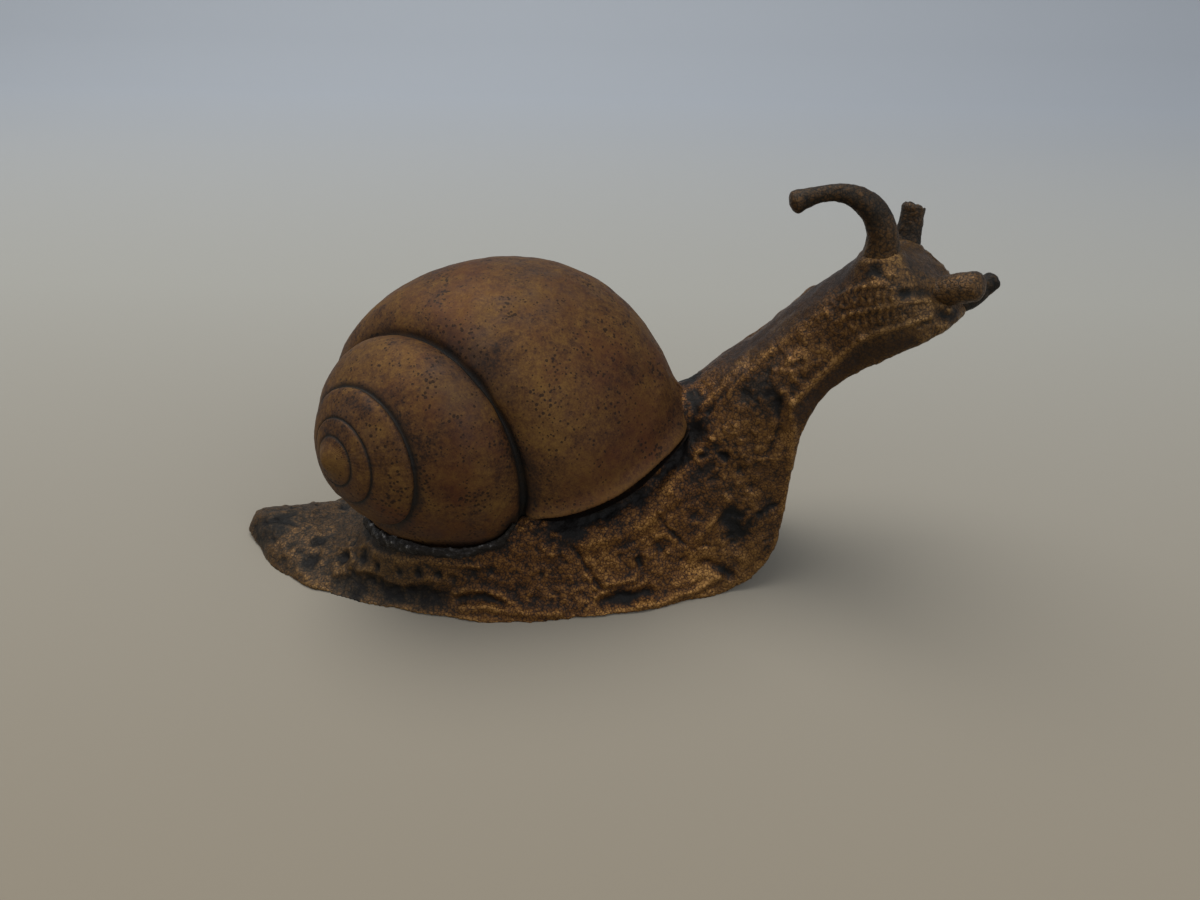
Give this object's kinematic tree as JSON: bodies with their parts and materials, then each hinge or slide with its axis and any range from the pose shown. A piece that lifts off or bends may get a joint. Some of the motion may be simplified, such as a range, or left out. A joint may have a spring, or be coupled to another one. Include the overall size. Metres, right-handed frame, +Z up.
{
  "type": "snail figurine",
  "caption": "Life-size cast bronze snail: open-bottomed body with a raised neck, a coiled shell soldered on its back, a curled eye stalk, a broken stump and short feelers.",
  "frame": {"origin": "centre of the bounding box on the ground plane that the foot rests on", "axes": "+X forwards towards the snail's head, +Y to the snail's left, +Z up from the ground"},
  "size_m": [0.0937, 0.0407, 0.0504],
  "materials": {
    "body_bronze": "dark patina worn to golden brown on the raised grain",
    "shell_bronze": "mid-brown patina with fine dark pores, satin",
    "solder": "grainy dark grey solder with bright specks"
  },
  "bodies": {
    "root": {"body_casting": "body_bronze", "shell_casting": "shell_bronze", "solder_bead": "solder", "near_eye_stalk": "body_bronze", "far_eye_stalk": "body_bronze", "near_feeler": "body_bronze", "far_feeler": "body_bronze"}
  },
  "joints": []
}
